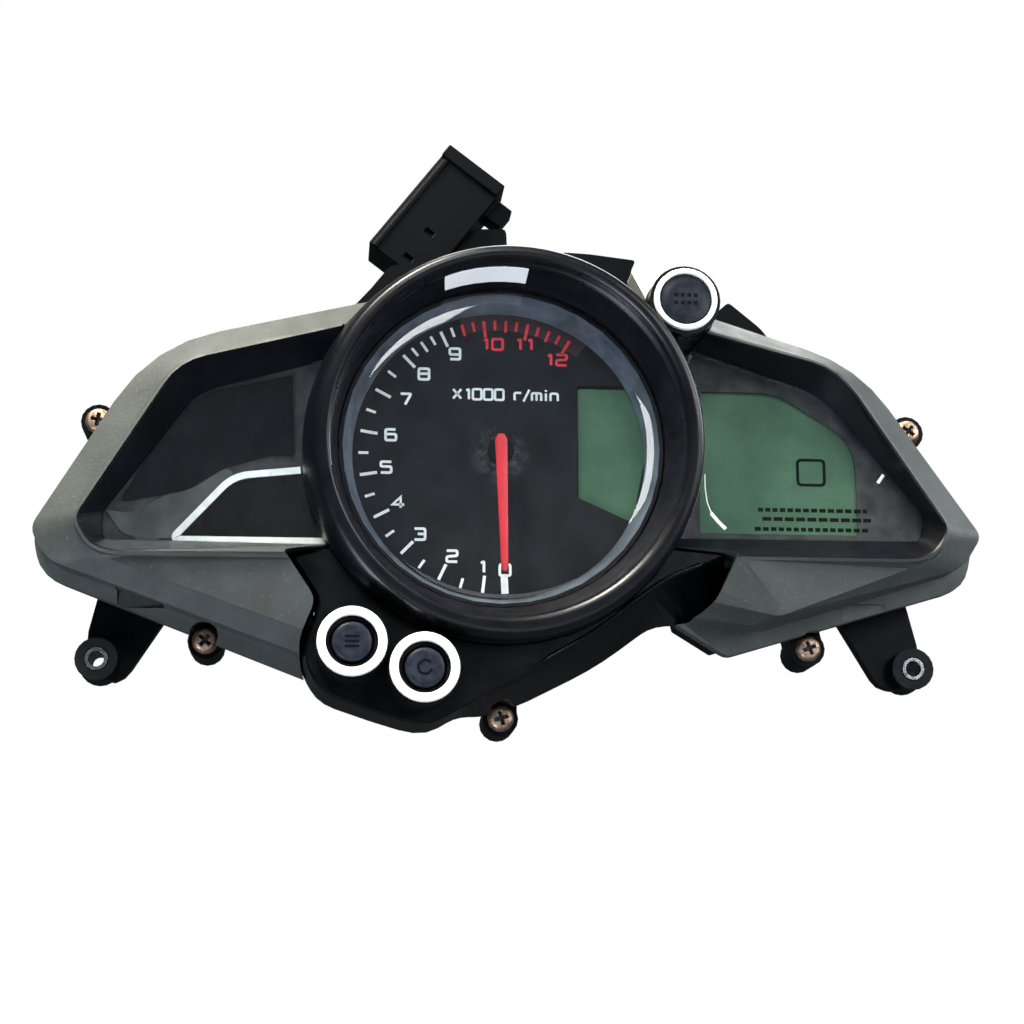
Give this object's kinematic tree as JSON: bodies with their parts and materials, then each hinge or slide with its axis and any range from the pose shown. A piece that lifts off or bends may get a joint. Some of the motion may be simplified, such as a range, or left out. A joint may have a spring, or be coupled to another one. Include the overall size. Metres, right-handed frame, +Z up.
{
  "type": "motorcycle instrument cluster",
  "caption": "Motorcycle instrument cluster: round needle dial between two angular display windows, push buttons, warning lamp, rear lugs and a wiring connector.",
  "frame": {"origin": "on the dial axis, in the flat back face of the rear case", "axes": "+X to the right as the rider sees the dial, +Y backwards away from the rider (the dial faces -Y), +Z up"},
  "size_m": [0.2629, 0.0648, 0.174],
  "materials": {
    "case_black": "fine grained satin",
    "cover_grey": "fine grained matte",
    "gloss_black": "semi gloss",
    "dial_film": "matte printed film",
    "reflector_grey": "satin",
    "clear_lens": "polished clear plastic",
    "lcd": "polished",
    "light_guide": "clear",
    "white_plastic": "satin",
    "needle_red": "satin",
    "rubber": "matte",
    "seal_blue": "matte",
    "board_green": "solder mask",
    "steel": "bright",
    "screw_bronze": "yellow passivated",
    "contact_brass": "plated",
    "winding": "enamelled wire",
    "gear_plastic": "moulded",
    "paper_white": "matte"
  },
  "bodies": {
    "cluster_body": {"rear_housing": "case_black", "front_frame": "case_black", "left_wing_cover": "cover_grey", "right_wing_cover": "cover_grey", "chin_cover": "gloss_black", "bezel_ring": "gloss_black", "dial_plate": "dial_film", "dial_reflector": "reflector_grey", "dial_lens_gasket": "rubber", "dial_lens": "clear_lens", "left_window_lens": "clear_lens", "right_window_lens": "clear_lens", "telltale_panel": "dial_film", "accent_trim": "white_plastic", "left_insert_panel": "gloss_black", "lcd_glass": "lcd", "lcd_backlight": "white_plastic", "lcd_zebra_strip": "rubber", "telltale_light_box": "white_plastic", "dial_light_guide": "light_guide", "main_board": "board_green", "microcontroller": "case_black", "motor_case": "case_black", "motor_cover": "case_black", "motor_coil_a": "winding", "motor_coil_b": "winding", "mode_button_ring": "white_plastic", "mode_button_boot": "rubber", "mode_switch": "case_black", "set_button_ring": "white_plastic", "set_button_boot": "rubber", "set_switch": "case_black", "shift_lamp_pod": "gloss_black", "shift_lamp_ring": "white_plastic", "shift_lamp_lens": "gloss_black", "shift_lamp_led": "needle_red", "shift_lamp_shoulder": "white_plastic", "connector_shroud": "case_black", "connector_pins": "contact_brass", "connector_seal": "seal_blue", "cover_screw_left_top": "screw_bronze", "cover_screw_left_bottom": "screw_bronze", "cover_screw_right_top": "screw_bronze", "cover_screw_right_bottom": "screw_bronze", "cover_screw_bottom": "screw_bronze", "lug_grommet_left": "rubber", "lug_sleeve_left": "steel", "lug_grommet_right": "rubber", "lug_sleeve_right": "steel", "blank_label": "paper_white", "breather_plug": "rubber"},
    "needle": {"needle_pointer": "needle_red", "needle_hub": "case_black", "motor_output_gear": "gear_plastic"},
    "idler_gear": {"motor_idler_gear": "gear_plastic"},
    "rotor": {"motor_rotor": "case_black"},
    "mode_key": {"mode_button": "case_black", "mode_switch_plunger": "white_plastic"},
    "set_key": {"set_button": "case_black", "set_switch_plunger": "white_plastic"}
  },
  "joints": [
    {"name": "needle_turn", "type": "hinge", "parent": "cluster_body", "child": "needle", "pos_m": [0, 0, 0], "axis": [0, 1, 0], "range_deg": [0, 213]},
    {"name": "idler_turn", "type": "hinge", "parent": "cluster_body", "child": "idler_gear", "pos_m": [0, 0, -0.0096], "axis": [0, 1, 0], "range_deg": [-1066, 0]},
    {"name": "rotor_turn", "type": "hinge", "parent": "cluster_body", "child": "rotor", "pos_m": [0.0045, 0, -0.01739], "axis": [0, 1, 0], "range_deg": [0, 4261]},
    {"name": "mode_press", "type": "slide", "parent": "cluster_body", "child": "mode_key", "axis": [0, 1, 0], "range_m": [0, 0.001], "stiffness_N_per_m": 600},
    {"name": "set_press", "type": "slide", "parent": "cluster_body", "child": "set_key", "axis": [0, 1, 0], "range_m": [0, 0.001], "stiffness_N_per_m": 600}
  ],
  "couplings": [
    {"joint": "idler_turn", "follows": "needle_turn", "ratio": -5},
    {"joint": "rotor_turn", "follows": "needle_turn", "ratio": 20}
  ]
}
